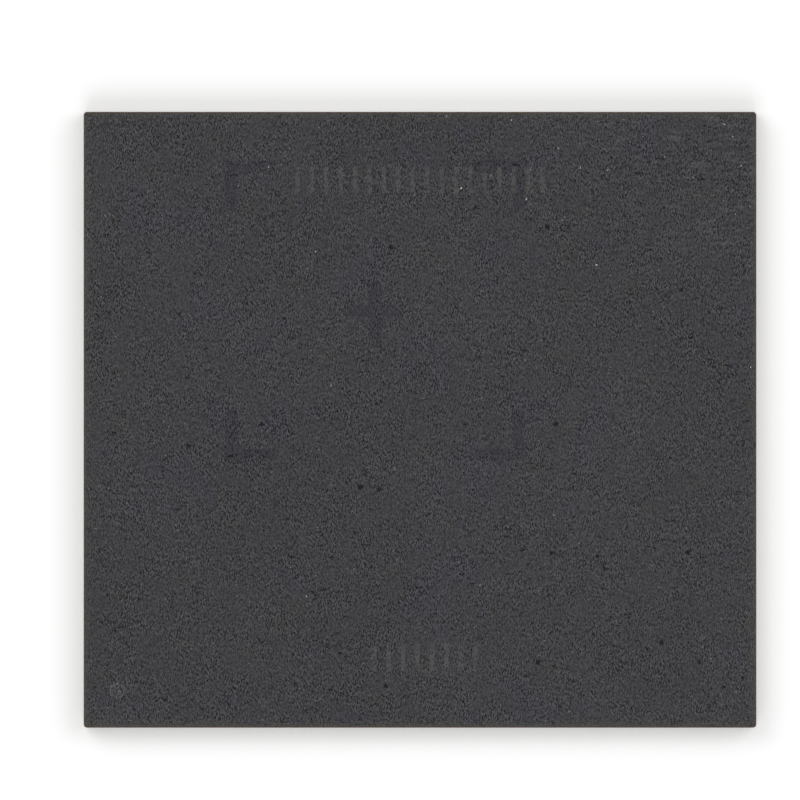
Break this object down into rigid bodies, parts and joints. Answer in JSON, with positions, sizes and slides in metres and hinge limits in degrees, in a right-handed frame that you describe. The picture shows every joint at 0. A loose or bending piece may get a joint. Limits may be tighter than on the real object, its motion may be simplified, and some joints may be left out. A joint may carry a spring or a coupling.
{
  "type": "bga chip",
  "caption": "Thin square-edged memory package: black moulded cap on a green laminate, with fine solder balls in rows along its long edges and down its sides.",
  "frame": {"origin": "on the plane of the ball tips, under the centre of the package", "axes": "+Z from the balls up to the moulded face, +X along the full rows of balls, +Y away from the corner mark"},
  "size_m": [0.0154, 0.0142, 0.0007],
  "materials": {
    "mould_epoxy": "black filled epoxy, fine matt grain from the mould",
    "solder_mask": "dark green solder mask, satin, copper showing lighter through it",
    "laminate": "sawn glass laminate edge, tan and fibrous",
    "copper": "plated copper, satin",
    "gold_finish": "soft bright gold, on the bonding wires and their fingers",
    "solder": "reflowed tin alloy, satin with a faint crystal grain",
    "silicon": "ground silicon, dark grey",
    "die_film": "amber adhesive film"
  },
  "bodies": {
    "root": {"mold_cap": "mould_epoxy", "upper_solder_mask": "solder_mask", "upper_copper": "gold_finish", "core_laminate": "laminate", "via_fills": "copper", "lower_copper": "copper", "lower_solder_mask": "solder_mask", "solder_balls_north": "solder", "solder_balls_south": "solder", "solder_balls_east": "solder", "solder_balls_west": "solder", "memory_die_1": "silicon", "memory_die_2": "silicon", "memory_die_3": "silicon", "memory_die_4": "silicon", "die_film_1": "die_film", "die_film_2": "die_film", "die_film_3": "die_film", "die_film_4": "die_film", "bond_wires_1": "gold_finish", "bond_wires_2": "gold_finish", "bond_wires_3": "gold_finish", "bond_wires_4": "gold_finish"}
  },
  "joints": []
}
